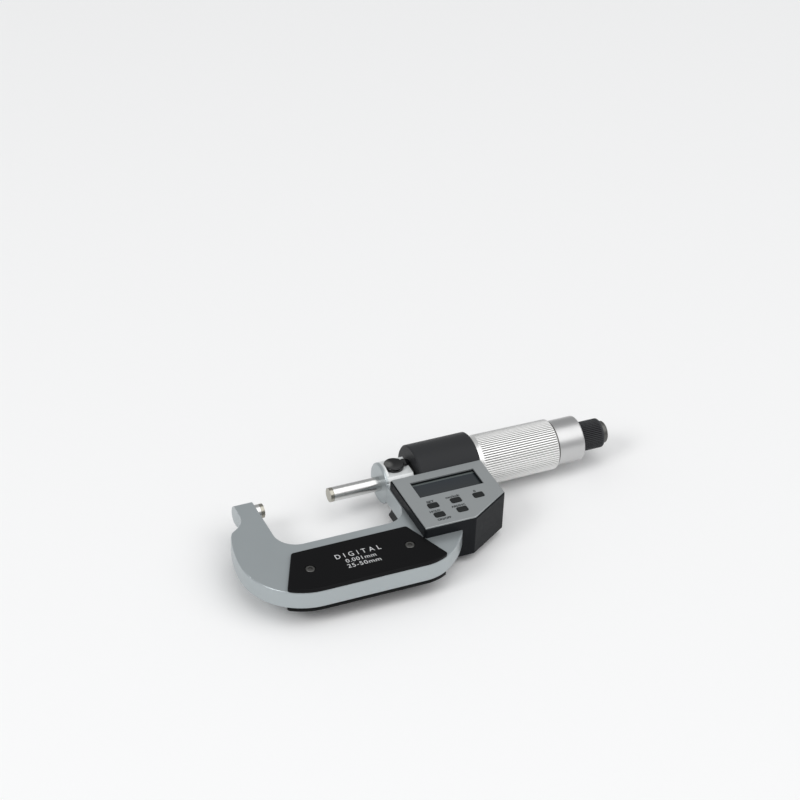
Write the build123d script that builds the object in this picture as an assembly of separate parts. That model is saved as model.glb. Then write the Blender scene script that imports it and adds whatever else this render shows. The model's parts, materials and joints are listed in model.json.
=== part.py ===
from build123d import *
import os
from math import asin, cos, degrees, pi, sin, sqrt

# Digital outside micrometer, 25 to 50 mm, millimetres.
# The spindle runs along X, the bow hangs towards -Y and the display faces +Z.
# The origin is the centre of the anvil's measuring face.

# Clearances between pieces, and how far cutting tools reach past the part
fit = 0.01
running = 0.02
seat = 0.05
thread_play = 0.08
gap = 0.1
room = 0.3
overcut = 1.0
reach = 300.0

# Measuring range, screw and spindle
largest_opening = 50.0
measuring_range = 25.0
opened = 6.0
opening = largest_opening - measuring_range + opened
retract = measuring_range - opened
spindle_r = 3.25
carbide = 1.7
anvil_in = 0.7
thread_r = 3.9
relief = 0.4
edge_break = 0.4

# Frame seen from the front: anvil arm, throat and bow
frame_half = 4.3
arm_t = 8.5
arm_in = -4.2
arm_out = arm_in - arm_t
boss_r = 4.65
nose_room = 5.0
nose_x = largest_opening + nose_room
throat_lip = 0.2
throat_right = nose_x + throat_lip
throat_depth = 32.8
throat_corner = 10.0
bow_height = 32.5
bow_low = throat_depth + bow_height
bow_out = 20.8
bow_left = arm_in - bow_out
bow_r = 27.2
flank_r = 62.5
notch_y = 4.2
notch_r = 10.5
notch_angle = 55.0
notch_run = 3.6
shoulder_drop = 2.1656
shoulder_r = 1.4
lobe_in = 5.7
lobe_r = 20.7
lobe_angle = 32.8
cheek_r = 40.6
cheek_angle = 26.6
frame_edge = 0.7

# Nose, neck and encoder cup on the spindle's axis
nose_len = 13.6
nose_end = nose_x + nose_len
nose_r = 9.3
nose_chamfer = 0.6
neck_r = 6.6
neck_len = 3.4
web_right = nose_end - gap
web_low = 36.0
cup_len = 12.0
cup_x = nose_end + neck_len
cup_end = cup_x + cup_len
cup_r = 9.4
cup_wall = 1.0
cup_inner = cup_r - cup_wall
cup_floor = cup_x + 2 * cup_wall

# Lock lever on the nose
lock_in = 6.9
lock_x = nose_x + lock_in
lock_flat = 7.2
lock_r = 4.5
lock_t = 1.85
lock_rim = 1.1
lock_dish = 0.3
lever_reach = 7.85
lever_w = 4.4
lever_step = 0.25
lever_angle = 10.0
stem_r = 2.1
stem_pin = 1.5
pad_top = 4.6

# Insulating plates and their screws
plate_t = 1.7
plate_in = 6.0
plate_top = throat_depth + plate_in
plate_bevel = 0.35
plate_side_gap = 0.94
plate_lean = 0.397
plate_lean_left = 0.475
plate_top_left = 1.7
plate_top_r = 1.6
plate_low_r = 1.2
screw_in = 3.7
screw_down = 12.5
screw_y = -(plate_top + screw_down)
screw_head_r = 2.15
screw_head_h = 1.15
screw_shaft_r = 1.2
screw_bevel = 0.3
socket_r = 1.15
socket_h = 0.5

# Display housing and barrel
barrel_len = 29.0
seal_t = 1.6
barrel_x = nose_end + seal_t
barrel_end = barrel_x + barrel_len
barrel_r = 14.1
barrel_bore = 12.15
barrel_floor = barrel_x + seal_t
barrel_edge = 0.6
box_w = 43.6
box_right = barrel_end
box_left = box_right - box_w
box_top = 10.8
box_h = 37.5
box_low = box_top + box_h
box_cut_w = 19.4
box_cut_h = 12.2
box_r = 1.2
box_inner_r = 0.6
box_edge = 0.3
roof = 8.8
roof_t = 1.2
wall = 1.6
box_back = 11.0
back_edge = 0.8
split = -(frame_half + seat)
panel_inset = 0.48
panel_t = 0.75
panel_edge = 0.15
panel_z = roof + panel_t

# Display window and buttons
window_in = 6.9
window_x = box_left + window_in
window_w = 30.5
window_down = 5.1
window_y = -(box_top + window_down)
window_h = 11.4
cell_z = 8.0
cell_t = 1.1
holder_rim = 1.4
holder_lap = 2.5
strip_in = 1.2
strip_half = 0.7
strip_end = 1.0
button_in = 10.0
button_x = box_left + button_in
button_pitch_x = 10.8
button_up_y = 14.1
button_y = -(box_low - button_up_y)
button_pitch_y = 6.8
button_w = 4.9
button_h = 3.3
button_r = 0.8
button_up = 0.4
button_edge = 0.22
button_flange = 0.5
flange_t = 0.65

# Circuit board, switches, battery and battery cap
board_z = 4.75
board_t = 0.8
board_down = 3.1
switch_w = 3.4
switch_h = 2.6
switch_t = 0.6
battery_in = 29.6
battery_x = box_left + battery_in
battery_down = 16.4
battery_y = -(box_top + battery_down)
battery_r = 10.0
battery_t = 3.2
battery_edge = 0.5
cap_r = 11.4
cap_t = 1.1
cap_step = 0.9
cap_pocket = 0.7
cap_ring = 1.4
cap_edge = 0.2
cap_slot_w = 1.8
cap_slot_h = 0.8
cap_slot_len = 14.0
seal_h = 0.6
cover_floor = 1.4
leaf_w = 3.2
leaf_t = 0.25
leaf_left = 7.0
leaf_right = 5.0

# Posts and screws of the back cover
cover_screw_r = 0.95
cover_screw_bite = 3.0
cover_head_r = 1.9
cover_head_h = 1.3
cover_head_in = 0.2
cover_slot = 0.5
cover_post_r = 3.0
housing_post_r = 2.6
post_in = 4.0
post_side = 6.2
screw_top_in = 9.2
screw_low_in = 4.7
screw_top_y = box_top + screw_top_in
screw_low_y = box_low - screw_low_in
frame_screw_spots = [(box_left + post_side, -screw_top_y), (box_left + post_side, -screw_low_y)]
post_top_in = 6.6
post_low_in = 4.4
post_low_side = 17.4
post_top_y = box_top + post_top_in
post_low_y = box_low - post_low_in
post_low_x = box_right - post_low_side
housing_post_spots = [(box_right - post_in, -post_top_y), (post_low_x, -post_low_y)]

# Thimble, collar and ratchet knob
thimble_in = 1.7
thimble_x = barrel_floor + opened + thimble_in
thimble_bore = 10.2
plain_r = 11.35
knurl_in = 2.2
knurl_len = 37.4
knurl_x = barrel_end + knurl_in
knurl_end = knurl_x + knurl_len
knurl_plain = 1.9
knurl_r = 11.85
knurl_r_end = 11.5
knurl_edge = 0.5
knurl_count = 66
knurl_depth = 0.32
web_in = 12.8
web_t = 5.0
web_x = knurl_end - web_in
seat_r = 5.6
seat_t = 1.4
tail_r = 4.9
tail_len = 5.0
tail_end = web_x + web_t + tail_len
socket_bore = 8.6
collar_r = 10.35
collar_len = 13.4
collar_end = knurl_end + collar_len
collar_neck = 4.0
collar_bore = 7.2
collar_t = 1.6
collar_hole = 4.4
knob_gap = 0.35
knob_x = collar_end + knob_gap
knob_r = 6.75
knob_len = 11.35
knob_end = knob_x + knob_len
knob_edge = 0.5
knob_plain = 0.9
knob_count = 48
knob_depth = 0.28
end_r = 5.1
end_len = 2.7
end_edge = 0.7
end_x = knob_end + end_len

# Inner sleeve, measuring nut and adjusting ring
sleeve_in = 3.0
sleeve_x = cup_end - sleeve_in
sleeve_r = 6.6
sleeve_bore = 4.4
nut_gap = 0.6
nut_len = 14.0
nut_end = web_x - seat_t - opened - nut_gap
nut_x = nut_end - nut_len
nut_r = 7.2
nut_slot = 0.8
ring_in = 5.0
ring_len = 6.0
ring_x = nut_x + ring_in
ring_end = ring_x + ring_len
ring_r = 8.6
ring_edge = 0.3
ring_hole_r = 0.9

# Encoder and the key that turns it
stator_x = cup_floor + seat
stator_t = 1.2
stator_bore = 4.2
disc_gap = 0.75
rotor_x = stator_x + stator_t + disc_gap
rotor_t = 1.2
rotor_gap = 0.4
rotor_end = sleeve_x - rotor_gap
hub_r = 5.2
key_w = 1.0
key_len = 1.2
key_depth = 0.7
key_x = rotor_end - key_len
thread_in = 0.6
thread_x = rotor_end + opened + thread_in

# Ratchet inside the collar
screw_core_r = 1.6
core_bite = 8.5
teeth = 12
tooth_in = 6.2
tooth_x = collar_end - tooth_in
tooth_h = 0.9
tooth_w = 1.1
tooth_inner = 2.2
tooth_outer = 4.2
disc_r = 5.6
disc_t = 3.3
wire = 0.6
coil_r = 3.2
coil_turns = 4


def post(r, x, y, z0, z1):
    return Pos(x, y, z0) * Cylinder(r, z1 - z0, align=(Align.CENTER, Align.CENTER, Align.MIN))


def rod(r, x0, x1):
    return Rot(0, 90, 0) * post(r, 0, 0, x0, x1)


def tube(outer, inner, x0, x1):
    return rod(outer, x0, x1) - rod(inner, x0 - overcut, x1 + overcut)


def block(x0, x1, y0, y1, z0, z1):
    return Pos((x0 + x1) / 2, (y0 + y1) / 2, (z0 + z1) / 2) * Box(x1 - x0, y1 - y0, z1 - z0)


def slab(face, z0, z1):
    return Pos(0, 0, z0) * extrude(face, z1 - z0)


def polygon(points):
    return make_face(Polyline(*points, close=True))


def turned(points):
    return revolve(polygon(points), Axis.X)


def around(shape, count):
    return [Rot(360 / count * n, 0, 0) * shape for n in range(count)]


# Outer edge of the bow on the right: a lobe and a cheek that run in one curve
def right_arcs():
    lobe = JernArc((nose_x - lobe_in, -bow_low), (1, 0), lobe_r, lobe_angle)
    return [lobe, JernArc(lobe @ 1, lobe % 1, cheek_r, cheek_angle)]


# Hollow under the anvil's boss, drawn downwards to the shoulder
def notch_lines():
    start = (arm_out, -notch_y)
    hollow = JernArc(start, (0, -1), notch_r, -notch_angle)
    return [Line((arm_out, 0), start), hollow, Line(hollow @ 1, hollow @ 1 + notch_run * (hollow % 1))]


# Frame outline: arm, hollow, shoulder, bow, and the arm below the nose
def bow_outline():
    notch = notch_lines()
    corner_y = bow_r - bow_low
    rise = (notch[-1] @ 1).Y - shoulder_drop - corner_y
    flank = JernArc((bow_left, corner_y), (0, 1), flank_r, -degrees(asin(rise / flank_r)))
    lobe, cheek = right_arcs()
    bend_y = throat_corner - throat_depth
    bend_left, bend_right = arm_in + throat_corner, throat_right - throat_corner
    return make_face(notch + [
        Line(notch[-1] @ 1, flank @ 1),
        flank,
        CenterArc((bow_left + bow_r, corner_y), bow_r, 180, 90),
        Line((bow_left + bow_r, -bow_low), lobe @ 0),
        lobe,
        cheek,
        Polyline(cheek @ 1, (web_right, -web_low), (web_right, 0)),
        Polyline((web_right, 0), (throat_right, 0), (throat_right, bend_y)),
        CenterArc((bend_right, bend_y), throat_corner, 0, -90),
        Line((bend_right, -throat_depth), (bend_left, -throat_depth)),
        CenterArc((bend_left, bend_y), throat_corner, -90, -90),
        Polyline((arm_in, bend_y), (arm_in, 0), (arm_out, 0)),
    ])


def bow_plate():
    face = bow_outline()
    flank = face.vertices().filter_by(lambda v: v.X < arm_out - overcut and v.Y > bow_r - bow_low + overcut)
    face = fillet(flank.sort_by(Axis.X)[:2], shoulder_r)
    solid = extrude(face, frame_half, both=True)
    rims = solid.faces().filter_by(Axis.Z).edges()
    return fillet(rims.filter_by(lambda e: on_outside(e.center())), frame_edge)


# True on the arm's outer side, the bow's underside and the lobe
def on_outside(p):
    below = p.Y < -throat_depth - overcut and p.X < web_right + overcut
    return p.Y < -overcut and (p.X < arm_in - overcut or below)


# Turned part of the frame: nose, neck and the cup that holds the encoder
def nose_and_cup():
    c = nose_chamfer
    return turned([(nose_x, 0), (nose_x, nose_r - c), (nose_x + c, nose_r), (nose_end, nose_r),
                   (nose_end, neck_r), (cup_x, neck_r), (cup_x, cup_r), (cup_end, cup_r),
                   (cup_end, cup_inner), (cup_floor, cup_inner), (cup_floor, 0)])


# Round boss at the end of the anvil's arm, with the arm's two flats
def anvil_boss():
    return rod(boss_r, arm_out, arm_in) & block(arm_out, arm_in, -boss_r, boss_r, -frame_half, frame_half)


def frame():
    body = bow_plate() + anvil_boss() + nose_and_cup()
    body -= block(lock_x - lock_r, nose_end + overcut, -nose_r, nose_r, lock_flat, nose_r + overcut)
    body -= rod(spindle_r + running, nose_x - overcut, cup_floor + overcut)
    body -= rod(spindle_r + fit, arm_out + anvil_in - gap, 0)
    body -= post(stem_r + running, lock_x, 0, 0, nose_r)
    for x, y in plate_screw_spots():
        body -= post(screw_shaft_r + fit, x, y, -frame_half - overcut, frame_half + overcut)
    for x, y in frame_screw_spots:
        body -= post(cover_screw_r + fit, x, y, -frame_half - overcut, cover_screw_bite + room - frame_half)
    return body


def anvil():
    x = arm_out + anvil_in
    return turned([(x, 0), (x, spindle_r - edge_break), (x + edge_break, spindle_r),
                   (-carbide, spindle_r), (-carbide, 0)])


def carbide_tip(x0, x1):
    return rod(spindle_r - running, x0, x1)


# Insulating plate: leaning sides, clear of the display housing, and the bow's own lower curve
def plate_corners():
    left, right = arm_in + plate_top_left, box_left - plate_side_gap
    top_right = right - plate_lean * (box_low - plate_top)
    low_right = right + plate_lean * (bow_low - box_low)
    low_left = left - plate_lean_left * (bow_low - plate_top)
    return [(left, -plate_top), (top_right, -plate_top), (low_right, -bow_low), (low_left, -bow_low)]


def plate_outline():
    face = polygon(plate_corners()) & bow_outline()
    face = fillet(face.vertices().group_by(Axis.Y)[-1], plate_top_r)
    across = face.vertices().sort_by(Axis.X)
    return fillet([across[0], across[-1]], plate_low_r)


def plate_screw_spots():
    left, right = plate_corners()[:2]
    return [(left[0] + screw_in, screw_y), (right[0] - screw_in, screw_y)]


def front_plate():
    top = frame_half + plate_t
    plate = slab(plate_outline(), frame_half + fit, top)
    plate = chamfer(plate.edges().group_by(Axis.Z)[-1], plate_bevel)
    for x, y in plate_screw_spots():
        plate -= post(screw_shaft_r + gap, x, y, 0, top + overcut)
        plate -= post(screw_head_r + gap, x, y, top - screw_head_h - gap, top + overcut)
    return plate


def back_plate():
    return mirror(front_plate(), Plane.XY)


def plate_screws():
    screws = []
    for x, y in plate_screw_spots():
        top = frame_half + plate_t - gap
        head = post(screw_head_r, x, y, top - screw_head_h, top)
        head = chamfer(head.edges().group_by(Axis.Z)[-1], screw_bevel)
        screw = head + post(screw_shaft_r, x, y, room, top - screw_head_h)
        screw -= Pos(x, y, top - socket_h) * extrude(RegularPolygon(socket_r, 6), socket_h + overcut)
        screws += [screw, mirror(screw, Plane.XY)]
    return Compound(children=screws)


# Lock: disc with a short lever, its stem and the pad that grips the spindle
def lock_lever():
    z0 = lock_flat + seat
    top = z0 + lock_t
    disc = post(lock_r, lock_x, 0, z0, top)
    disc = chamfer(disc.edges().group_by(Axis.Z)[-1], edge_break)
    tip = lock_x + lever_reach - lever_w / 2
    arm = block(lock_x, tip, -lever_w / 2, lever_w / 2, z0 + gap, top - lever_step)
    arm += post(lever_w / 2, tip, 0, z0 + gap, top - lever_step)
    arm = Pos(lock_x, 0, 0) * Rot(0, 0, lever_angle) * Pos(-lock_x, 0, 0) * arm
    dish = post(lock_r - lock_rim, lock_x, 0, top - lock_dish, top + overcut)
    return disc + arm - dish - post(stem_pin, lock_x, 0, z0 - overcut, z0 + lock_t / 2)


def lock_stem():
    z0 = lock_flat + seat - fit
    return post(stem_r, lock_x, 0, pad_top + gap, z0) + post(stem_pin - fit, lock_x, 0, z0, z0 + lock_t / 2)


def lock_pad():
    pad = post(stem_r, lock_x, 0, spindle_r, pad_top)
    return pad - rod(spindle_r + seat, lock_x - lock_r, lock_x + lock_r)


def neck_seal():
    return tube(lock_flat - seat, neck_r + fit, nose_end + fit, barrel_x - fit)


# Spindle: ground stem with the key's groove, plain thread body, and a tail for the thimble
def spindle():
    stem_end = thread_x - thread_in
    body = turned([(opening + carbide, 0), (opening + carbide, spindle_r), (stem_end, spindle_r),
                   (stem_end, spindle_r - relief), (thread_x, spindle_r - relief), (thread_x, thread_r),
                   (web_x - seat_t, thread_r), (web_x - seat_t, seat_r), (web_x, seat_r), (web_x, tail_r),
                   (tail_end, tail_r), (tail_end, 0)])
    half, floor = key_w / 2 + seat, spindle_r - key_depth - seat
    body -= block(key_x - retract - room, thread_x - gap, -half, half, floor, spindle_r + overcut)
    return body - rod(screw_core_r + fit, tail_end - core_bite - room, tail_end + overcut)


# Fixed inner sleeve: flange in the cup, tube and slotted measuring nut
def sleeve():
    flange = cup_inner - fit
    flange_end = cup_end + cup_wall
    bore = thread_r + thread_play
    body = turned([(sleeve_x, sleeve_bore), (sleeve_x, flange), (flange_end, flange), (flange_end, sleeve_r),
                   (nut_x, sleeve_r), (nut_x, nut_r), (nut_end, nut_r), (nut_end, bore), (nut_x, bore),
                   (nut_x, sleeve_bore)])
    for n in range(3):
        cut = block(nut_x + ring_in / 2, nut_end + overcut, 0, nut_r + overcut, -nut_slot / 2, nut_slot / 2)
        body -= Rot(120 * n + 90, 0, 0) * cut
    return body


def adjusting_ring():
    ring = tube(ring_r, nut_r + fit, ring_x, ring_end)
    rims = ring.edges().filter_by(GeomType.CIRCLE).sort_by(SortBy.RADIUS)[-2:]
    hole = post(ring_hole_r, (ring_x + ring_end) / 2, 0, nut_r + relief, ring_r + overcut)
    return chamfer(rims, ring_edge) - around(hole, 4)


# Encoder: stator fixed in the cup, rotor that turns with the spindle
def stator():
    return tube(cup_inner - gap, stator_bore, stator_x, stator_x + stator_t)


def rotor():
    bore, rim = spindle_r + running, cup_inner - rotor_gap
    body = turned([(rotor_x, bore), (rotor_x, rim), (rotor_x + rotor_t, rim), (rotor_x + rotor_t, hub_r),
                   (rotor_end, hub_r), (rotor_end, bore)])
    return body + block(key_x, rotor_end, -key_w / 2, key_w / 2, spindle_r - key_depth, (bore + hub_r) / 2)


# Display housing: box outline with a cut corner, shell and barrel
def box_outline(inset, top=box_top):
    i = inset
    slope = box_cut_h / box_cut_w
    cut_y = box_cut_h - box_low + i * (sqrt(1 + slope ** 2) - slope)
    cut_x = box_right - box_cut_w - i * (sqrt(1 + 1 / slope ** 2) - 1 / slope)
    return [(box_left + i, -top - i), (box_right - i, -top - i), (box_right - i, cut_y),
            (cut_x, i - box_low), (box_left + i, i - box_low)]


def box_face(inset, radius):
    face = polygon(box_outline(inset))
    return fillet(face.vertices().sort_by(Axis.Y)[:3], radius)


# Room for the frame's arm between the front housing and the back cover
def frame_room():
    left, side = box_left - overcut, web_right + gap
    lobe = right_arcs()[-1] @ 1
    face = polygon([(left, -neck_r), (side, -neck_r), (side, -web_low), (lobe.X + gap, lobe.Y),
                    (lobe.X + gap, -bow_low), (left, -bow_low)])
    return extrude(face, frame_half + fit, both=True)


def housing():
    shell = slab(box_face(0, box_r), split, roof)
    shell = chamfer(shell.edges().group_by(Axis.Z)[-1], box_edge)
    inner = slab(box_face(wall, box_inner_r), split - overcut, roof - roof_t) - rod(barrel_r, 0, reach)
    shell = shell - inner + barrel_shell()
    for x, y in housing_post_spots:
        shell += post(housing_post_r, x, y, split, board_z - fit)
        shell -= post(cover_screw_r + fit, x, y, split - overcut, split + cover_screw_bite + room)
    shell -= barrel_room()
    shell -= frame_room()
    shell -= rod(nose_r + room, nose_x, nose_end + room)
    shell -= window_cut(0, roof - roof_t - overcut, roof + overcut)
    for x, y in button_spots():
        shell -= button_prism(x, y, gap, roof - roof_t - overcut, roof + overcut)
    return shell


def barrel_shell():
    c = barrel_edge
    return turned([(barrel_x, 0), (barrel_x, barrel_r - c), (barrel_x + c, barrel_r),
                   (barrel_end - c, barrel_r), (barrel_end, barrel_r - c), (barrel_end, 0)])


def barrel_room():
    neck_hole = rod(neck_r + gap, barrel_x - overcut, barrel_floor + overcut)
    return rod(barrel_bore, barrel_floor, barrel_end + overcut) + neck_hole


def back_cover():
    floor = cover_floor - box_back
    outer = slab(box_face(0, box_r), -box_back, split - fit)
    outer = chamfer(outer.edges().group_by(Axis.Z)[0], back_edge)
    inner = slab(box_face(wall, box_inner_r), floor, 0)
    root = floor - cover_floor / 2
    cover = outer - inner + post(cap_r + cap_ring, battery_x, battery_y, root, floor + battery_t + overcut)
    spots = frame_screw_spots + housing_post_spots
    for x, y in spots:
        pillar = post(cover_post_r, x, y, root, split - fit)
        cover += pillar & slab(box_face(gap, box_r), -box_back, split)
    cover -= rod(barrel_r + seat, 0, reach) + rod(nose_r + room, nose_x, nose_end + overcut)
    cover -= post(cap_r + gap, battery_x, battery_y, -reach, 0)
    for x, y in spots:
        cover -= post(cover_screw_r + gap, x, y, -reach, 0)
        cover -= post(cover_head_r + gap, x, y, -reach, cover_head_in + cover_head_h - box_back)
    return cover


def cover_screws():
    screws = []
    z = cover_head_in - box_back
    arm, deep = cover_head_r * 0.6, z + cover_head_h / 2
    for x, y in frame_screw_spots + housing_post_spots:
        head = post(cover_head_r, x, y, z, z + cover_head_h)
        head -= block(x - arm, x + arm, y - cover_slot / 2, y + cover_slot / 2, z - overcut, deep)
        head -= block(x - cover_slot / 2, x + cover_slot / 2, y - arm, y + arm, z - overcut, deep)
        screws.append(head + post(cover_screw_r, x, y, z + cover_head_h, split + cover_screw_bite))
    return Compound(children=screws)


# Silver display panel with its window and button openings
def panel():
    body = slab(polygon(box_outline(panel_inset)), roof + fit, panel_z)
    body = chamfer(body.edges().group_by(Axis.Z)[-1], panel_edge)
    body -= window_cut(0, roof - overcut, panel_z + overcut)
    for x, y in button_spots():
        body -= button_prism(x, y, gap, roof - overcut, panel_z + overcut)
    return body


def window_cut(grow, z0, z1):
    g = grow
    return block(window_x - g, window_x + window_w + g, window_y - window_h - g, window_y + g, z0, z1)


def lcd_cell():
    return window_cut(-seat, cell_z - cell_t, cell_z)


def lcd_holder():
    top = roof - roof_t - fit
    low = board_z + board_t + fit
    rim = window_cut(holder_rim, low, top) - window_cut(fit - seat, cell_z - cell_t - fit, top + overcut)
    return rim - window_cut(-holder_lap, low - overcut, top + overcut) - contact_strips(fit)


# Rubber contact strips between the board and the display cell, or the room for them
def contact_strips(grow):
    z0, z1 = board_z + board_t + fit - 2 * grow, cell_z - cell_t - 2 * fit
    x0, x1 = window_x + strip_end - grow, window_x + window_w - strip_end + grow
    half = strip_half + grow
    top, low = window_y - strip_in, window_y - window_h + strip_in
    return block(x0, x1, top - half, top + half, z0, z1) + block(x0, x1, low - half, low + half, z0, z1)


def button_spots():
    top = [(button_x + n * button_pitch_x, button_y) for n in range(3)]
    return top + [(x, button_y - button_pitch_y) for x, _ in top[:2]]


def button_prism(x, y, grow, z0, z1):
    shape = RectangleRounded(button_w + 2 * grow, button_h + 2 * grow, button_r + grow)
    return Pos(x, y, z0) * extrude(shape, z1 - z0)


def button(x, y):
    stop = roof - roof_t - seat
    cap = button_prism(x, y, 0, stop - flange_t, panel_z + button_up)
    cap = chamfer(cap.edges().group_by(Axis.Z)[-1], button_edge)
    return cap + button_prism(x, y, button_flange, stop - flange_t, stop)


def circuit_board():
    inset = wall + 2 * gap
    return slab(polygon(box_outline(inset, top=box_top + board_down - inset)), board_z, board_z + board_t)


def switches():
    z = board_z + board_t + fit
    w, h = switch_w / 2, switch_h / 2
    return Compound(children=[block(x - w, x + w, y - h, y + h, z, z + switch_t) for x, y in button_spots()])


# Battery side of the housing
def battery_low():
    return cap_t + cap_pocket + seat - box_back


def battery():
    cell = post(battery_r, battery_x, battery_y, battery_low(), battery_low() + battery_t)
    return chamfer(cell.edges().group_by(Axis.Z)[0], battery_edge)


def battery_cap():
    cap = post(cap_r, battery_x, battery_y, -box_back, cap_t - box_back)
    cap = chamfer(cap.edges().group_by(Axis.Z)[0], cap_edge)
    cap += post(cap_r - cap_step, battery_x, battery_y, cap_t - box_back, battery_low() - seat)
    w, h = cap_slot_len / 2, cap_slot_w / 2
    slot_top = cap_slot_h - box_back
    return cap - block(battery_x - w, battery_x + w, battery_y - h, battery_y + h, -reach, slot_top)


def cap_seal():
    z = cap_t - box_back
    ring = post(cap_r - gap, battery_x, battery_y, z + fit, z + seal_h)
    return ring - post(cap_r - cap_step + fit, battery_x, battery_y, -reach, 0)


def battery_contact():
    z = battery_low() + battery_t + fit
    half, leg_x = leaf_w / 2, battery_x + leaf_right
    leaf = block(battery_x - leaf_left, leg_x, battery_y - half, battery_y + half, z, z + leaf_t)
    return leaf + block(leg_x, leg_x + leaf_t, battery_y - half, battery_y + half, z, board_z - fit)


# Thimble: plain skirt inside the barrel, knurled grip and a web on the spindle's tail
def thimble():
    c, hole = knurl_edge, tail_r + fit
    body = turned([(thimble_x, thimble_bore), (thimble_x, plain_r), (knurl_x - 2 * gap, plain_r),
                   (knurl_x, knurl_r - c), (knurl_x + c, knurl_r), (knurl_end - c, knurl_r_end),
                   (knurl_end, knurl_r_end - c), (knurl_end, socket_bore), (web_x + web_t, socket_bore),
                   (web_x + web_t, hole), (web_x + fit, hole), (web_x + fit, thimble_bore)])
    x0, x1 = knurl_x + knurl_plain, knurl_end + overcut
    return body - flutes(x0, x1, knurl_r, knurl_r_end, knurl_count, knurl_depth)


# Straight V flutes on a cylinder or slow cone, as one ring cut by a star shape
def flutes(x0, x1, r0, r1, count, depth):
    stars = []
    for r, x in ((r0, x0), (r1, x1)):
        turns = [(r + seat - depth * (n % 2), pi * n / count) for n in range(2 * count)]
        stars.append(Polyline(*[(x, q * cos(a), q * sin(a)) for q, a in turns], close=True))
    return rod(r0 + overcut, x0, x1) - Solid.make_loft(stars, ruled=True)


def collar():
    c, neck = edge_break, socket_bore - gap
    neck_x, inner_x = knurl_end - collar_neck, collar_end - collar_t
    return turned([(neck_x, neck), (neck_x, collar_bore), (inner_x, collar_bore), (inner_x, collar_hole),
                   (collar_end, collar_hole), (collar_end, collar_r - c), (collar_end - c, collar_r),
                   (knurl_end + running, collar_r), (knurl_end + running, neck)])


# Knurled ratchet knob with a hub and ring of teeth inside the collar
def ratchet_knob():
    c = knob_edge
    bore = screw_core_r + seat
    body = turned([(tooth_x, bore), (tooth_x, tooth_outer), (knob_x, tooth_outer), (knob_x, knob_r - c),
                   (knob_x + c, knob_r), (knob_end - c, knob_r), (knob_end, knob_r - c), (knob_end, bore)])
    body -= flutes(knob_x + knob_plain, knob_end - knob_plain, knob_r, knob_r, knob_count, knob_depth)
    half = tooth_w / 2
    slot = block(tooth_x - fit, tooth_x + tooth_h, -half, half, tooth_inner, tooth_outer + overcut)
    return body - around(slot, teeth)


def click_disc():
    half, top = tooth_w / 2 - gap, tooth_outer - gap
    tooth = block(tooth_x - 2 * gap, tooth_x + tooth_h - gap, -half, half, tooth_inner + gap, top)
    body = tube(disc_r, screw_core_r + seat, tooth_x - gap - disc_t, tooth_x - gap)
    for piece in around(tooth, teeth):
        body += piece
    return body


# Square wire spring between the spindle's tail and the click disc
def ratchet_spring():
    x0, x1 = tail_end + room, tooth_x - disc_t - room
    length = x1 - x0 - wire
    path = Pos(x0 + wire / 2, 0, 0) * Rot(0, 90, 0) * Helix(length / coil_turns, length, coil_r)
    start = Plane(origin=path @ 0, z_dir=path % 0)
    return sweep(start * Rectangle(wire, wire), path=path, is_frenet=True)


def ratchet_screw():
    c = end_edge
    x0, head_x = tail_end - core_bite, knob_end + gap
    return turned([(x0, 0), (x0, screw_core_r), (head_x, screw_core_r), (head_x, end_r), (end_x - c, end_r),
                   (end_x, end_r - c), (end_x, 0)])


def save(name, shape):
    export_step(shape, "parts/" + name + ".step")


os.makedirs("parts", exist_ok=True)
save("frame", frame())
save("anvil", anvil())
save("anvil_tip", carbide_tip(fit - carbide, 0))
save("front_plate", front_plate())
save("back_plate", back_plate())
save("plate_screws", plate_screws())
save("lock_lever", lock_lever())
save("lock_stem", lock_stem())
save("lock_pad", lock_pad())
save("neck_seal", neck_seal())
save("spindle", spindle())
save("spindle_tip", carbide_tip(opening, opening + carbide - fit))
save("sleeve", sleeve())
save("adjusting_ring", adjusting_ring())
save("encoder_stator", stator())
save("encoder_rotor", rotor())
save("housing", housing())
save("back_cover", back_cover())
save("cover_screws", cover_screws())
save("display_panel", panel())
save("lcd_cell", lcd_cell())
save("lcd_holder", lcd_holder())
save("contact_strips", contact_strips(0))
save("circuit_board", circuit_board())
save("switches", switches())
for n, (x, y) in enumerate(button_spots()):
    save("button_%d" % (n + 1), button(x, y))
save("battery", battery())
save("battery_cap", battery_cap())
save("cap_seal", cap_seal())
save("battery_contact", battery_contact())
save("thimble", thimble())
save("collar", collar())
save("ratchet_knob", ratchet_knob())
save("click_disc", click_disc())
save("ratchet_spring", ratchet_spring())
save("ratchet_screw", ratchet_screw())
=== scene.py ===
import json
import math

import bpy
import numpy as np
from mathutils import Matrix, Vector


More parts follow.
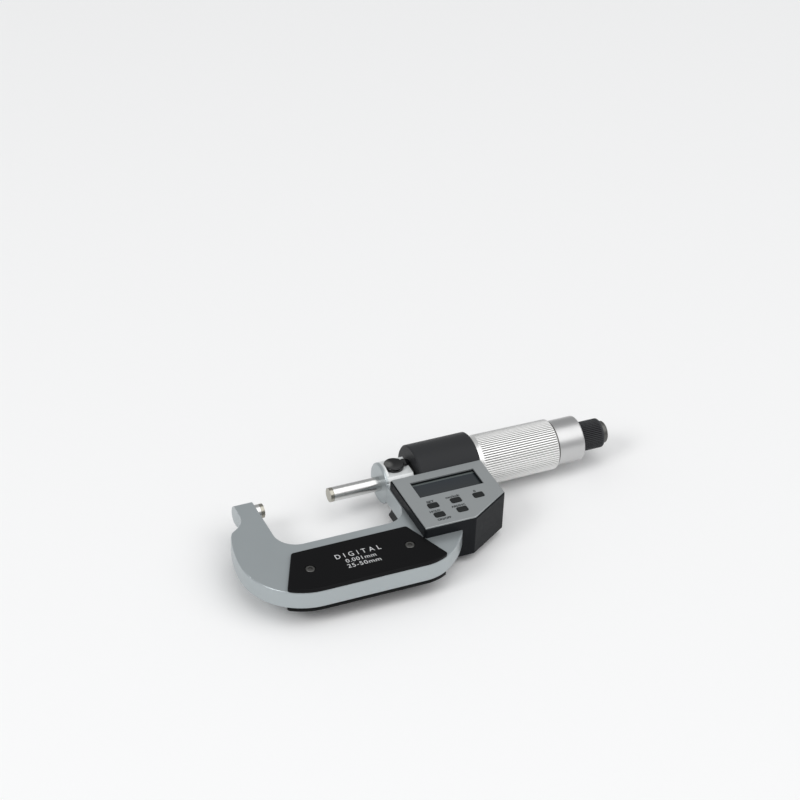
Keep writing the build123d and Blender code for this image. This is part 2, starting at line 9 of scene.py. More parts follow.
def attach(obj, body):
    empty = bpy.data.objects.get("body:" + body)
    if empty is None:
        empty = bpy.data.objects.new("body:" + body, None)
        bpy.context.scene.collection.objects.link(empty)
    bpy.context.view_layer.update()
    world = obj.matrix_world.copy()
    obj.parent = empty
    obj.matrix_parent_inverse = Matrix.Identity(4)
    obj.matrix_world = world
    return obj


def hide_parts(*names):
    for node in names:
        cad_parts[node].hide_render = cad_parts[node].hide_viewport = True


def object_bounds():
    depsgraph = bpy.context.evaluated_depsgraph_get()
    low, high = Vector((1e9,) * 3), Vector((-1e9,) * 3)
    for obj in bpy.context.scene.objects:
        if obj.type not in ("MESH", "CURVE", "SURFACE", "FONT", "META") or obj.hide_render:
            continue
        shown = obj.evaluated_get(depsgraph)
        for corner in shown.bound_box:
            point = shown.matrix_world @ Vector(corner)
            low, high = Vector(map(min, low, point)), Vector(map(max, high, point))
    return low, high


# Digital outside micrometer on its back: spindle along X, bow towards -Y, display up
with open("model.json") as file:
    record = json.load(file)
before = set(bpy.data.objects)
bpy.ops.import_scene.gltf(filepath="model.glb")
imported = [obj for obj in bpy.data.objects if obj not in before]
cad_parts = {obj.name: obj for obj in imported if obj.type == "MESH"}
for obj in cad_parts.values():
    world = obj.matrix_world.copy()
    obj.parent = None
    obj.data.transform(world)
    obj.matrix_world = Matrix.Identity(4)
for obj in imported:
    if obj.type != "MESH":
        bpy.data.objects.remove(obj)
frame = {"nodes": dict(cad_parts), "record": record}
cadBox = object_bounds()
nodes = frame["nodes"]
scene = bpy.context.scene
mm = 0.001
print("frame loaded,", len(nodes), "nodes")


# A material with its three plain values set
def newMaterial(name, baseColor, roughness, metallic=0.0):
    mat = bpy.data.materials.new(name)
    mat.use_nodes = True
    tree = mat.node_tree
    shader = tree.nodes["Principled BSDF"]
    shader.inputs["Base Color"].default_value = (*baseColor, 1)
    shader.inputs["Roughness"].default_value = roughness
    shader.inputs["Metallic"].default_value = metallic
    return mat, tree, shader


# A node whose named values go to its sockets, or else to its own settings
def addNode(tree, kind, **values):
    node = tree.nodes.new(kind)
    for key, value in values.items():
        if key in node.inputs:
            node.inputs[key].default_value = value
        else:
            setattr(node, key, value)
    return node


# The piece's own coordinates, stretched by a scale along each axis
def objectCoords(tree, scale=(1, 1, 1)):
    coords = addNode(tree, "ShaderNodeTexCoord")
    mapping = addNode(tree, "ShaderNodeMapping", Scale=scale)
    tree.links.new(coords.outputs["Object"], mapping.inputs["Vector"])
    return mapping.outputs["Vector"]


# The X, Y and Z of a place
def splitPlace(tree, vector):
    node = addNode(tree, "ShaderNodeSeparateXYZ")
    tree.links.new(vector, node.inputs[0])
    return node.outputs


def noise(tree, vector, scale, detail=3.0):
    node = addNode(tree, "ShaderNodeTexNoise", Scale=scale, Detail=detail)
    tree.links.new(vector, node.inputs["Vector"])
    return node.outputs["Fac"]


# A value carried from one range to another and held at its ends
def spread(tree, value, low, high, fromLow=0.3, fromHigh=0.7):
    node = addNode(tree, "ShaderNodeMapRange")
    for key, number in (("From Min", fromLow), ("From Max", fromHigh), ("To Min", low), ("To Max", high)):
        node.inputs[key].default_value = number
    tree.links.new(value, node.inputs["Value"])
    return node.outputs["Result"]


# 1 past a place along an axis, falling to 0 over a short run before it
def past(tree, value, start, fade):
    return spread(tree, value, 0, 1, start - fade, start)


# 1 within half a width of a middle, 0 elsewhere
def band(tree, value, middle, half):
    node = addNode(tree, "ShaderNodeMath", operation="COMPARE")
    tree.links.new(value, node.inputs[0])
    node.inputs[1].default_value = middle
    node.inputs[2].default_value = half
    return node.outputs[0]


# The first colour where the share is 0 and the second where it is 1
def mixColor(tree, share, a, b):
    node = addNode(tree, "ShaderNodeMix", data_type="RGBA")
    for socket, color in ((6, a), (7, b)):
        if hasattr(color, "default_value"):
            tree.links.new(color, node.inputs[socket])
        else:
            node.inputs[socket].default_value = (*color, 1)
    tree.links.new(share, node.inputs[0])
    return node.outputs[2]


# One sum, product or comparison of two values
def combine(tree, operation, a, b):
    node = addNode(tree, "ShaderNodeMath", operation=operation)
    for socket, value in ((0, a), (1, b)):
        if hasattr(value, "default_value"):
            tree.links.new(value, node.inputs[socket])
        else:
            node.inputs[socket].default_value = value
    return node.outputs[0]


# Painted shade in the grooves: a darker colour mixed in by the mesh's own attribute of groove depth, which is
# 0 off the grooves
def paintGrooveShade(tree, color, grooveShade):
    cut = addNode(tree, "ShaderNodeAttribute", attribute_name="grooveShade")
    return mixColor(tree, cut.outputs["Fac"], color, grooveShade)


def addBump(tree, shader, height, strength, distance):
    node = addNode(tree, "ShaderNodeBump", Strength=strength, Distance=distance)
    tree.links.new(height, node.inputs["Height"])
    tree.links.new(node.outputs["Normal"], shader.inputs["Normal"])


# Painted, moulded and rubber finishes. Scales are in cells per metre, depths and places in metres.
mouldedSet = {
    "frame_enamel": dict(base=(0.410, 0.448, 0.462), tint=(0.435, 0.474, 0.487), rough=(0.29, 0.34),
                         metallic=0.6, specular=0.5, grain=650.0, depth=0.0000012, slow=60.0,
                         ground=dict(color=(0.74, 0.76, 0.76), metallic=0.2,
                                     neck=dict(fromX=0.0568, fadeX=0.0008, fromY=-0.0078, fadeY=0.0024))),
    "plate_black": dict(base=(0.0025, 0.0025, 0.003), tint=(0.004, 0.004, 0.0045), rough=(0.29, 0.34),
                        metallic=0.0, specular=0.10, grain=3200.0, depth=0.000006, slow=90.0),
    "lock_black": dict(base=(0.003, 0.003, 0.0035), tint=(0.005, 0.005, 0.0055), rough=(0.05, 0.09),
                       metallic=0.0, specular=0.55, grain=900.0, depth=0.000002, slow=120.0,
                       # Painted highlight on the lock disc's dish, standing in for a gloss reflection
                       paintedGloss=dict(color=(0.14, 0.14, 0.135),
                                 patch=dict(centre=(0.0592, 0.0010, 0.0086), reach=0.0030, core=0.3,
                                            patchiness=700.0, least=0.45))),
    "seal_rubber": dict(base=(0.004, 0.004, 0.004), tint=(0.007, 0.007, 0.007), rough=(0.55, 0.72),
                        metallic=0.0, specular=0.2, grain=1800.0, depth=0.00002, slow=200.0),
    "housing_plastic": dict(base=(0.008, 0.009, 0.0105), tint=(0.011, 0.012, 0.014), rough=(0.36, 0.44),
                            metallic=0.0, specular=0.08, grain=3800.0, depth=0.000005, slow=80.0,
                            # Barrel colour: lighter than the box, partly its own finish and partly painted
                            # sheen
                            barrelToneAndSheen=dict(color=(0.034, 0.035, 0.037), fromY=-0.0107, fadeY=0.0002)),
    "panel_silver": dict(base=(0.36, 0.382, 0.388), tint=(0.385, 0.407, 0.412), rough=(0.30, 0.38),
                         metallic=0.55, specular=0.5, grain=900.0, depth=0.0000012, slow=70.0),
    "holder_plastic": dict(base=(0.006, 0.011, 0.009), tint=(0.010, 0.015, 0.012), rough=(0.45, 0.6),
                           metallic=0.0, specular=0.3, grain=2600.0, depth=0.00001, slow=150.0),
    "button_rubber": dict(base=(0.0075, 0.009, 0.009), tint=(0.014, 0.016, 0.016), rough=(0.42, 0.58),
                          metallic=0.0, specular=0.25, grain=4200.0, depth=0.000025, slow=300.0),
    "knob_black": dict(base=(0.046, 0.047, 0.051), tint=(0.055, 0.056, 0.060), rough=(0.29, 0.35),
                       metallic=0.0, specular=0.12, grain=2600.0, depth=0.000004, slow=150.0,
                       # Groove colour: painted shade in the knob's flutes
                       grooveShade=(0.002, 0.002, 0.002)),
    "board": dict(base=(0.010, 0.085, 0.035), tint=(0.014, 0.12, 0.045), rough=(0.28, 0.42),
                  metallic=0.0, specular=0.5, grain=900.0, depth=0.00001, slow=160.0),
    "print_dark": dict(base=(0.006, 0.007, 0.008), tint=(0.010, 0.011, 0.012), rough=(0.5, 0.6),
                       metallic=0.0, specular=0.2, grain=4000.0, depth=0.000005, slow=400.0),
    "print_white": dict(base=(0.72, 0.73, 0.74), tint=(0.64, 0.65, 0.66), rough=(0.5, 0.6),
                        metallic=0.0, specular=0.3, grain=4000.0, depth=0.000005, slow=400.0),
}

# What the painted, moulded and rubber finishes share: gloss varies finer than colour by a factor
mottleSet = dict(detail=4.0, finer=6, grainDetail=2.0, bump=0.5)


# The frame's bare neck: past a place along X times past one along Y
def groundNeck(tree, vector, fromX, fadeX, fromY, fadeY):
    place = splitPlace(tree, vector)
    along = past(tree, place["X"], fromX, fadeX)
    above = past(tree, place["Y"], fromY, fadeY)
    return combine(tree, "MULTIPLY", along, above)


# Painted highlight standing in for the disc's gloss reflection: full within a core round a centre, gone at
# its reach, and broken up by noise
def paintedGlossPatch(tree, vector, centre, reach, core, patchiness, least):
    away = addNode(tree, "ShaderNodeVectorMath", operation="DISTANCE")
    tree.links.new(vector, away.inputs[0])
    away.inputs[1].default_value = centre
    near = spread(tree, away.outputs["Value"], 1, 0, reach * core, reach)
    return combine(tree, "MULTIPLY", near, spread(tree, noise(tree, vector, patchiness), least, 1.0))


# Slow noise mixes base and tint, finer noise moves the roughness, and a fine grain is the bump
def moulded(name, base, tint, rough, metallic, specular, grain, depth, slow, barrelToneAndSheen=None, grooveShade=None,
            ground=None, paintedGloss=None):
    mat, tree, shader = newMaterial(name, base, rough[0], metallic)
    shader.inputs["Specular IOR Level"].default_value = specular
    vector = objectCoords(tree)
    color = mixColor(tree, noise(tree, vector, slow, mottleSet["detail"]), base, tint)
    # Barrel lighter than the box: partly its own finish, partly painted sheen
    if barrelToneAndSheen:
        share = past(tree, splitPlace(tree, vector)["Y"], barrelToneAndSheen["fromY"], barrelToneAndSheen["fadeY"])
        color = mixColor(tree, share, color, barrelToneAndSheen["color"])
    # Painted shade darkening the flutes' grooves
    if grooveShade:
        color = paintGrooveShade(tree, color, grooveShade)
    if ground:
        share = groundNeck(tree, vector, **ground["neck"])
        color = mixColor(tree, share, color, ground["color"])
        bare = spread(tree, share, metallic, ground["metallic"], 0, 1)
        tree.links.new(bare, shader.inputs["Metallic"])
    # Painted highlight lightening the lock disc, standing in for a gloss reflection
    if paintedGloss:
        color = mixColor(tree, paintedGlossPatch(tree, vector, **paintedGloss["patch"]), color, paintedGloss["color"])
    tree.links.new(color, shader.inputs["Base Color"])
    gloss = noise(tree, vector, slow * mottleSet["finer"], mottleSet["detail"])
    tree.links.new(spread(tree, gloss, *rough), shader.inputs["Roughness"])
    addBump(tree, shader, noise(tree, vector, grain, mottleSet["grainDetail"]), mottleSet["bump"], depth)
    return mat


# Turned and ground metal: rings are noise cells per metre along the spindle, around across it
turnedSet = {
    "steel": dict(base=(0.70, 0.70, 0.69), tint=(0.65, 0.65, 0.64), rough=(0.20, 0.265), rings=9000.0,
                  around=90.0, depth=0.000004),
    "carbide": dict(base=(0.42, 0.405, 0.35), tint=(0.36, 0.345, 0.30), rough=(0.16, 0.26), rings=6000.0,
                    around=400.0, depth=0.000003),
    "brass": dict(base=(0.60, 0.43, 0.18), tint=(0.52, 0.37, 0.15), rough=(0.28, 0.34), rings=7000.0,
                  around=80.0, depth=0.000006),
    "cell_steel": dict(base=(0.58, 0.58, 0.57), tint=(0.52, 0.52, 0.51), rough=(0.12, 0.22), rings=900.0,
                       around=900.0, depth=0.000003),
    "thimble_satin": dict(base=(0.93, 0.93, 0.92), tint=(0.90, 0.90, 0.89), rough=(0.31, 0.37), rings=8000.0,
                          # Groove colour: painted shade in the thimble's flutes, also used by the collar
                          around=60.0, depth=0.000002, grooveShade=(0.08, 0.078, 0.072)),
    "screw_black": dict(base=(0.105, 0.103, 0.10), tint=(0.16, 0.158, 0.152), rough=(0.30, 0.45),
                        rings=2400.0, around=2400.0, depth=0.000008),
}

# The collar has the thimble's finish in a darker metal, with a painted shade line round it at a place along
# X, where the thimble meets it, in the grooves' painted shade colour
turnedSet["collar_satin"] = dict(turnedSet["thimble_satin"], base=(0.60, 0.60, 0.60), tint=(0.57, 0.57, 0.57),
                                 rough=(0.34, 0.40), jointShade=dict(middle=0.13932, half=0.00034))

# What the turned and ground finishes share
latheSet = dict(lineDetail=2.0, stains=180.0, stainDetail=4.0, bump=0.4)


# Stains mix base and tint, lines and stains in equal halves move the roughness, and lines are the bump
def turnedMetal(name, base, tint, rough, rings, around, depth, grooveShade=None, jointShade=None):
    mat, tree, shader = newMaterial(name, base, rough[0], 1.0)
    lines = noise(tree, objectCoords(tree, scale=(rings, around, around)), 1.0, latheSet["lineDetail"])
    stains = noise(tree, objectCoords(tree), latheSet["stains"], latheSet["stainDetail"])
    color = mixColor(tree, stains, base, tint)
    # Painted shade darkening the flutes' grooves
    if grooveShade:
        color = paintGrooveShade(tree, color, grooveShade)
    # Painted shade line where the collar meets the thimble
    if jointShade:
        near = band(tree, splitPlace(tree, objectCoords(tree))["X"], **jointShade)
        color = mixColor(tree, near, color, grooveShade)
    tree.links.new(color, shader.inputs["Base Color"])
    halves = [combine(tree, "MULTIPLY", part, 0.5) for part in (lines, stains)]
    tree.links.new(spread(tree, combine(tree, "ADD", *halves), *rough), shader.inputs["Roughness"])
    addBump(tree, shader, lines, latheSet["bump"], depth)
    return mat


# Display cell: blue grey glass, with a greener painted shadow of the window's top wall above the pale rim
# line of its polariser
lcdSet = dict(glass=(0.012, 0.018, 0.025), lower=(0.021, 0.025, 0.027), rim=(0.105, 0.12, 0.12),
              wallShadow=(0.012, 0.019, 0.015), rimY=-0.01668, rimHalf=0.00050, lowY=-0.0272, roughness=0.10,
              clouds=70.0, cloudMost=0.25)


# Glass runs to the lower colour down Y, with faint clouds of it; a painted shadow of the window's wall lies
# above the rim line
def displayGlass(name, glass, lower, rim, wallShadow, rimY, rimHalf, lowY, roughness, clouds, cloudMost):
    mat, tree, shader = newMaterial(name, glass, roughness)
    y = splitPlace(tree, objectCoords(tree))["Y"]
    body = mixColor(tree, spread(tree, y, 0, 1, rimY, lowY), glass, lower)
    cloud = spread(tree, noise(tree, objectCoords(tree), clouds), 0, cloudMost)
    body = mixColor(tree, cloud, body, lower)
    # Painted shadow of the window's wall above the rim line
    body = mixColor(tree, combine(tree, "GREATER_THAN", y, rimY), body, wallShadow)
    tree.links.new(mixColor(tree, band(tree, y, rimY, rimHalf), body, rim), shader.inputs["Base Color"])
    return mat


materials = {name: moulded(name, **values) for name, values in mouldedSet.items()}
materials.update({name: turnedMetal(name, **values) for name, values in turnedSet.items()})
materials["lcd"] = displayGlass("lcd", **lcdSet)
print("materials made:", len(materials))

# Edges: corners nearer than mergeGap in metres are joined, and an edge sharper than sharpAngle in degrees
# stays sharp. Faces within flatAngle are joined before edges sharper than bevelAngle are broken. Edges
# broken wider than wideFrom in millimetres get wideSegments.
edgeSet = dict(mergeGap=0.000002, sharpAngle=36.0, flatAngle=0.4, bevelAngle=42.0, wideFrom=0.3,
               wideSegments=3, segments=2, normalWeight=100)
frameEdgeSet = dict(sharpAngle=80.0, bevelAngle=80.0)


# Geometry nodes that join loose triangles, mark the edges sharper than an angle and smooth the rest
def makeSoftener(name, sharpAngle):
    group = bpy.data.node_groups.new(name, "GeometryNodeTree")
    group.interface.new_socket("Geometry", in_out="INPUT", socket_type="NodeSocketGeometry")
    group.interface.new_socket("Geometry", in_out="OUTPUT", socket_type="NodeSocketGeometry")
    start, end = group.nodes.new("NodeGroupInput"), group.nodes.new("NodeGroupOutput")
    merge = group.nodes.new("GeometryNodeMergeByDistance")
    merge.inputs["Distance"].default_value = edgeSet["mergeGap"]
    angle = group.nodes.new("GeometryNodeInputMeshEdgeAngle")
    compare = group.nodes.new("FunctionNodeCompare")
    compare.data_type, compare.operation = "FLOAT", "GREATER_THAN"
    compare.inputs[1].default_value = math.radians(sharpAngle)
    store = group.nodes.new("GeometryNodeStoreNamedAttribute")
    store.data_type, store.domain = "BOOLEAN", "EDGE"
    store.inputs["Name"].default_value = "sharp_edge"
    smooth = group.nodes.new("GeometryNodeSetShadeSmooth")
    links = group.links
    links.new(start.outputs[0], merge.inputs[0])
    links.new(merge.outputs[0], store.inputs["Geometry"])
    links.new(angle.outputs["Unsigned Angle"], compare.inputs[0])
    links.new(compare.outputs[0], store.inputs["Value"])
    links.new(store.outputs[0], smooth.inputs[0])
    links.new(smooth.outputs[0], end.inputs[0])
    return group


softener = makeSoftener("softenEdges", edgeSet["sharpAngle"])
frameSoftener = makeSoftener("softenFrame", frameEdgeSet["sharpAngle"])


def soften(obj, group=softener):
    modifier = obj.modifiers.new("soften", "NODES")
    modifier.node_group = group


# How wide each node's sharp edges are broken, in millimetres
edgeWidths = {"frame": 0.22, "housing": 0.22, "back_cover": 0.22, "display_panel": 0.10,
              "front_plate": 0.38, "back_plate": 0.38, "ratchet_screw": 0.15, "battery_cap": 0.12,
              "plate_screws": 0.08, "cover_screws": 0.08, "anvil": 0.06, "spindle": 0.05,
              "anvil_tip": 0.08, "spindle_tip": 0.08, "collar": 0.38}
for number in range(1, 6):
    edgeWidths["button_%d" % number] = 0.10


# Flat faces joined, then each edge sharper than an angle replaced by a narrow round
def breakEdges(obj, width, bevelAngle):
    flat = obj.modifiers.new("flat", "DECIMATE")
    flat.decimate_type = "DISSOLVE"
    flat.angle_limit = math.radians(edgeSet["flatAngle"])
    bevel = obj.modifiers.new("bevel", "BEVEL")
    bevel.width = width * mm
    bevel.segments = edgeSet["wideSegments"] if width > edgeSet["wideFrom"] else edgeSet["segments"]
    bevel.limit_method = "ANGLE"
    bevel.angle_limit = math.radians(bevelAngle)


def dressNode(name, obj, material):
    obj.data.materials.clear()
    obj.data.materials.append(material)
    weld = obj.modifiers.new("weld", "WELD")
    weld.merge_threshold = edgeSet["mergeGap"]
    if name in edgeWidths:
        angles = frameEdgeSet if name == "frame" else edgeSet
        breakEdges(obj, edgeWidths[name], angles["bevelAngle"])
    soften(obj, frameSoftener if name == "frame" else softener)
    even = obj.modifiers.new("even", "WEIGHTED_NORMAL")
    even.weight = edgeSet["normalWeight"]
    even.keep_sharp = True


finishOf = {part["node"]: part["material_slot"] for part in frame["record"]["subparts"]}
finishOf["collar"] = "collar_satin"
for name, obj in nodes.items():
    dressNode(name, obj, materials[finishOf[name]])
print("nodes dressed")


# Corners of a closed profile, each given as x, r and a bend, replaced by arcs of that bend's radius:
# each arc's centre lies on the corner's bisector, bend over the sine of half the corner's angle away
def roundedProfile(corners, steps):
    points = []
    place = np.array([c[:2] for c in corners], float)
    for n, (x, r, bend) in enumerate(corners):
        here = place[n]
        if bend <= 0:
            points.append(here[None])
            continue
        back, ahead = place[n - 1] - here, place[(n + 1) % len(place)] - here
        back, ahead = back / np.linalg.norm(back), ahead / np.linalg.norm(ahead)
        half = math.acos(np.clip(back @ ahead, -1, 1)) / 2
        t = np.linspace(0, 1, steps)[:, None]
        reach = bend / math.tan(half)
        a, b = here + back * reach, here + ahead * reach
        centre = here + (back + ahead) / np.linalg.norm(back + ahead) * bend / math.sin(half)
        turn = math.atan2(*(a - centre)[::-1]), math.atan2(*(b - centre)[::-1])
        sweep = (turn[1] - turn[0] + math.pi) % (2 * math.pi) - math.pi
        angle = turn[0] + sweep * t
        points.append(centre + bend * np.hstack([np.cos(angle), np.sin(angle)]))
    return np.vstack(points)


# Extra points where the profile's outer runs, if longer than shortRun, pass each station along X
def addStations(profile, stations, outerFrom, shortRun=1.0, margin=0.02):
    out = [profile[:1]]
    for a, b in zip(profile[:-1], profile[1:]):
        low, high = min(a[0], b[0]) + margin, max(a[0], b[0]) - margin
        inside = [s for s in stations if low < s < high and a[1] > outerFrom]
        inside = sorted(inside, reverse=bool(b[0] < a[0]))
        if inside and abs(b[0] - a[0]) > shortRun:
            t = (np.array(inside) - a[0])[:, None] / (b[0] - a[0])
            out.append(a + (b - a) * t)
        out.append(b[None])
    return np.vstack(out)


# Quads between neighbouring rows and columns of points, closed round either way, with or without end caps
def meshFromGrid(name, points, closeRows, closeColumns, grooveShade=None, flip=False, caps=False):
    rows, columns = points.shape[:2]
    index = np.arange(rows * columns).reshape(rows, columns)
    if closeRows:
        index = np.vstack([index, index[:1]])
    if closeColumns:
        index = np.hstack([index, index[:, :1]])
    quads = np.stack([index[:-1, :-1], index[:-1, 1:], index[1:, 1:], index[1:, :-1]], -1).reshape(-1, 4)
    if flip:
        quads = quads[:, ::-1]
    sizes = np.full(len(quads), 4)
    loops = quads.ravel()
    if caps:
        ring = np.arange(columns)
        lastRow = (rows - 1) * columns
        first, last = (ring, ring[::-1] + lastRow) if flip else (ring[::-1], ring + lastRow)
        loops = np.concatenate([loops, first, last])
        sizes = np.concatenate([sizes, [columns, columns]])
    mesh = bpy.data.meshes.new(name)
    mesh.vertices.add(rows * columns)
    mesh.vertices.foreach_set("co", (points.reshape(-1, 3) * mm).ravel().astype(np.float32))
    mesh.loops.add(len(loops))
    mesh.loops.foreach_set("vertex_index", loops.astype(np.int32))
    mesh.polygons.add(len(sizes))
    mesh.polygons.foreach_set("loop_start", (np.cumsum(sizes) - sizes).astype(np.int32))
    mesh.update(calc_edges=True)
    mesh.validate()
    # Share of groove depth kept on the mesh as the mask for the painted groove shade
    if grooveShade is not None:
        values = grooveShade.ravel().astype(np.float32)
        mesh.attributes.new("grooveShade", "FLOAT", "POINT").data.foreach_set("value", values)
    obj = bpy.data.objects.new(name, mesh)
    scene.collection.objects.link(obj)
    return obj


# Ring surface: radius = profile radius - groove depth x fade along X x V shape round the axis.
# The fades at both ends have fadeSteps points each.
def flutedRing(name, corners, count, depth, width, start, run, end, perFlute, steps, fadeSteps, outerFrom):
    profile = roundedProfile(corners, steps)
    fades = np.linspace(start, start + run, fadeSteps), np.linspace(end - run, end, fadeSteps)
    profile = addStations(profile, np.concatenate(fades), outerFrom)
    x, r = profile[:, 0], profile[:, 1]
    turn = np.arange(count * perFlute) * 2 * math.pi / (count * perFlute)
    phase = (np.arange(count * perFlute) / perFlute) % 1.0
    vee = np.clip(1 - np.abs(phase - 0.5) / width, 0, 1)
    fade = np.clip((x - start) / run, 0, 1) * np.clip((end - x) / run, 0, 1) * (r > outerFrom)
    cut = fade[:, None] * vee[None, :]
    radius = r[:, None] - depth * cut
    along = np.broadcast_to(x[:, None], radius.shape)
    points = np.stack([along, radius * np.cos(turn), radius * np.sin(turn)], -1)
    return meshFromGrid(name, points, True, True, grooveShade=cut)


def finishPiece(obj, body, slotName, material, *replaced):
    obj.data.materials.clear()
    obj.data.materials.append(material)
    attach(obj, body)
    if replaced:
        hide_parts(*replaced)


# Thimble: plain skirt, rounded rims and straight grooves that run out before the left rim
thimbleSet = dict(count=66, depth=0.32, width=0.28, start=101.7, run=0.75, end=138.9, perFlute=8, steps=5,
                  fadeSteps=5, outerFrom=11.4,
                  corners=[(79.5, 10.2, 0), (79.5, 11.35, 0.25), (99.5, 11.35, 0.3), (101.5, 11.85, 0.5),
                           (138.8, 11.5, 0.55), (138.8, 8.6, 0), (131.0, 8.6, 0), (131.0, 4.91, 0),
                           (126.01, 4.91, 0), (126.01, 10.2, 0)])
thimble = flutedRing("thimbleKnurled", **thimbleSet)
soften(thimble)
finishPiece(thimble, "screw", "thimble_satin", materials["thimble_satin"], "thimble")

# Ratchet knob: finer grooves, rounded rims, and its hub left plain inside the collar
knobSet = dict(count=48, depth=0.34, width=0.40, start=153.4, run=0.5, end=163.1, perFlute=8, steps=5,
               fadeSteps=5, outerFrom=6.4,
               corners=[(146.9, 1.65, 0), (146.9, 4.2, 0), (152.55, 4.2, 0), (152.55, 6.75, 0.5),
                        (163.9, 6.75, 0.6), (163.9, 1.65, 0)])
knob = flutedRing("knobKnurled", **knobSet)
soften(knob)
finishPiece(knob, "ratchet", "knob_black", materials["knob_black"], "ratchet_knob")

# Lock wing: a dished disc and a lower lever in one, its lower edge cut at 45 degrees by underCut. The rings
# under it are shares of its outline, and a last ring of radius lastR closes the dish.
lockSet = dict(centre=(61.9, 0.0), low=7.25, high=9.1, discR=4.5, reach=7.85, halfW=2.2, angle=10.0,
               blend=14.0, dishR=3.75, dishDepth=0.5, step=0.75, stepFrom=4.3, stepRun=0.4, edge=0.35,
               bends=6, underCut=0.15, underRings=(0.02, 0.5, 1.0), lastR=0.02, turns=192, rows=90)


# Outline radius = soft maximum of a disc and a round-ended lever, by the sum of their high powers
def lockOutline(turn, discR, reach, halfW, angle, blend):
    away = (turn - math.radians(angle) + math.pi) % (2 * math.pi) - math.pi
    run = reach - halfW
    side = halfW / np.maximum(np.abs(np.sin(away)), 1e-6)
    cap = run * np.cos(away) + np.sqrt(np.maximum(halfW ** 2 - (run * np.sin(away)) ** 2, 0))
    lever = np.where(np.abs(away) < math.atan2(halfW, run), cap, side)
    lever = np.where(np.cos(away) > 0, lever, 0.0)
    return (discR ** blend + np.minimum(lever, reach) ** blend) ** (1 / blend)


# Height = top less a parabola for the dish and a smooth step for the lever, with a quarter-round edge
def lockWing(centre, low, high, discR, reach, halfW, angle, blend, dishR, dishDepth, step, stepFrom,
             stepRun, edge, bends, underCut, underRings, lastR, turns, rows):
    turn = np.arange(turns) * 2 * math.pi / turns
    outline = lockOutline(turn, discR, reach, halfW, angle, blend)
    bend = np.linspace(0, math.pi / 2, bends)
    share = 1 - np.linspace(0, 1, rows)
    inner = np.outer(share, outline - edge)
    dish = dishDepth * np.clip(1 - (inner / dishR) ** 2, 0, 1)
    fall = np.clip((inner - stepFrom) / stepRun, 0, 1)
    fall = step * fall * fall * (3 - 2 * fall)
    top = high - dish - fall
    rimR = outline[None] - edge * (1 - np.cos(bend))[:, None]
    rimZ = top[:1] - edge * (1 - np.sin(bend))[:, None]
    under = np.outer(underRings, outline - underCut)
    underZ = np.full((len(under), turns), low)
    cutZ = np.full((1, turns), low + underCut)
    radius = np.vstack([under, outline[None], rimR, inner[1:-1], np.full((1, turns), lastR)])
    height = np.vstack([underZ, cutZ, rimZ, top[1:-1], top[-1:]])
    points = np.stack([centre[0] + radius * np.cos(turn), centre[1] + radius * np.sin(turn), height], -1)
    return meshFromGrid("lockWing", points, False, True, flip=True, caps=True)


wing = lockWing(**lockSet)
soften(wing)
finishPiece(wing, "lock", "lock_black", materials["lock_black"], "lock_lever")
print("knurled pieces and lock wing made")


# Printed words: flat letters scaled to a width and height and laid just above the face under them
def printWord(name, text, x, y, height, width, z, finish, slotName, bold, spacing):
    curve = bpy.data.curves.new(name, "FONT")
    curve.body = text
    curve.size = 1.0
    curve.align_x, curve.align_y = "CENTER", "CENTER"
    curve.resolution_u = 3
    curve.offset = bold
    curve.space_character = spacing
    letters = bpy.data.objects.new(name, curve)
    scene.collection.objects.link(letters)
    bpy.context.view_layer.update()
    mesh = bpy.data.meshes.new_from_object(letters.evaluated_get(bpy.context.evaluated_depsgraph_get()))
    bpy.data.objects.remove(letters)
    co = np.empty(len(mesh.vertices) * 3, np.float32)
    mesh.vertices.foreach_get("co", co)
    co = co.reshape(-1, 3)
    low, high = co.min(0), co.max(0)
    share = np.array([width, height]) / (high - low)[:2]
    co[:, :2] = (co[:, :2] - (low + high)[:2] / 2) * share + (x, y)
    co[:, 2] = z
    mesh.vertices.foreach_set("co", (co * mm).ravel())
    obj = bpy.data.objects.new(name, mesh)
    scene.collection.objects.link(obj)
    finishPiece(obj, "instrument", slotName, materials[finish])


# Words by the buttons and on the plate: text, centre, height and width in millimetres, and letter spacing
panelPrint = dict(z=9.565, finish="print_dark", slotName="holder_plastic", bold=0.035)
panelWords = {
    "setWord": ("SET", 65.4, -31.35, 1.5, 3.6, 1.0),
    "unitWord": ("mm/inch", 75.9, -31.3, 1.5, 6.4, 1.0),
    "zeroWord": ("0", 86.6, -31.2, 1.5, 1.1, 1.0),
    "holdWord": ("HOLD", 64.7, -38.1, 1.35, 4.9, 1.0),
    "absWord": ("ABS/INC", 75.7, -38.1, 1.35, 6.6, 1.0),
    "powerWord": ("ON/OFF", 66.4, -44.3, 1.5, 6.4, 1.0),
}
platePrint = dict(z=6.015, finish="print_white", slotName="panel_silver", bold=-0.003)
plateWords = {
    "kindWord": ("DIGITAL", 24.3, -48.3, 2.9, 20.8, 1.7),
    "stepWord": ("0.001mm", 24.0, -52.2, 2.4, 13.7, 1.1),
    "rangeWord": ("25-50mm", 24.1, -55.7, 2.4, 15.2, 1.1),
}
for words, ink in ((panelWords, panelPrint), (plateWords, platePrint)):
    for name, (text, x, y, height, width, spacing) in words.items():
        printWord(name, text, x, y, height, width, spacing=spacing, **ink)
print("words printed")

# Pale matt floor just below the lowest point
stageSet = dict(floorColor=(0.95, 0.95, 0.95), roughness=0.85, size=12.0, drop=0.0001)


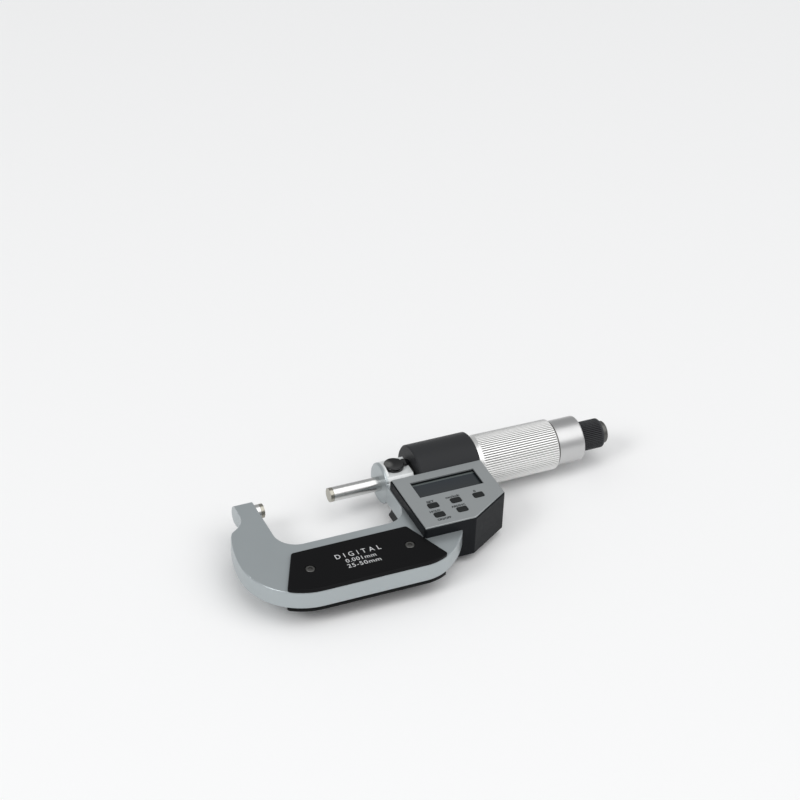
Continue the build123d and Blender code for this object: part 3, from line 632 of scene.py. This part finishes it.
def makeStage(floorColor, roughness, size, drop):
    low = cadBox[0][2] - drop
    half = size / 2
    corners = [(-half, -half, low), (half, -half, low), (half, half, low), (-half, half, low)]
    mesh = bpy.data.meshes.new("floor")
    mesh.from_pydata(corners, [], [(0, 1, 2, 3)])
    floor = bpy.data.objects.new("floor", mesh)
    scene.collection.objects.link(floor)
    mat, tree, shader = newMaterial("floorPaint", floorColor, roughness)
    mesh.materials.append(mat)


makeStage(**stageSet)

# Square lamps that face one point of the instrument: name, place, side and power
lampAim = (0.06, -0.02, 0)
lampSet = [
    dict(name="overheadLight", place=(0.74, -1.02, 2.32), side=3.2, power=40.0),
    dict(name="leftLight", place=(-1.96, -0.68, 1.80), side=1.0, power=22.0),
]


def makeLamp(name, place, side, power):
    data = bpy.data.lights.new(name, "AREA")
    data.shape = "RECTANGLE"
    data.size, data.size_y = side, side
    data.energy = power
    lamp = bpy.data.objects.new(name, data)
    lamp.location = place
    lamp.rotation_euler = (Vector(lampAim) - Vector(place)).to_track_quat("-Z", "Y").to_euler()
    scene.collection.objects.link(lamp)


for values in lampSet:
    makeLamp(**values)

# World: one soft pale grey all round
studioSet = dict(color=(0.98, 0.99, 1.0), strength=0.46)


def makeWorld(color, strength):
    world = bpy.data.worlds.new("studioWorld")
    scene.world = world
    world.use_nodes = True
    soft = world.node_tree.nodes["Background"]
    soft.inputs["Color"].default_value = (*color, 1)
    soft.inputs["Strength"].default_value = strength


makeWorld(**studioSet)

# Camera: where it stands, how it looks down, round and tilts, its lens and sensor, and its near and far ends
cameraSet = dict(place=(-0.37666, -0.92957, 0.77531), down=35.443, turn=-25.334, roll=2.821, lens=130.83,
                 sensor=36, near=0.05, far=20)


def makeCamera(place, down, turn, roll, lens, sensor, near, far):
    data = bpy.data.cameras.new("camera")
    data.lens = lens
    data.sensor_width = sensor
    data.clip_start, data.clip_end = near, far
    cam = bpy.data.objects.new("camera", data)
    turned = Matrix.Rotation(math.radians(turn), 4, "Z") @ Matrix.Rotation(math.radians(90 - down), 4, "X")
    cam.matrix_world = Matrix.Translation(place) @ turned @ Matrix.Rotation(math.radians(roll), 4, "Z")
    scene.collection.objects.link(cam)
    scene.camera = cam


makeCamera(**cameraSet)
scene.view_settings.view_transform = "Standard"
print("stage, lamps and camera set")
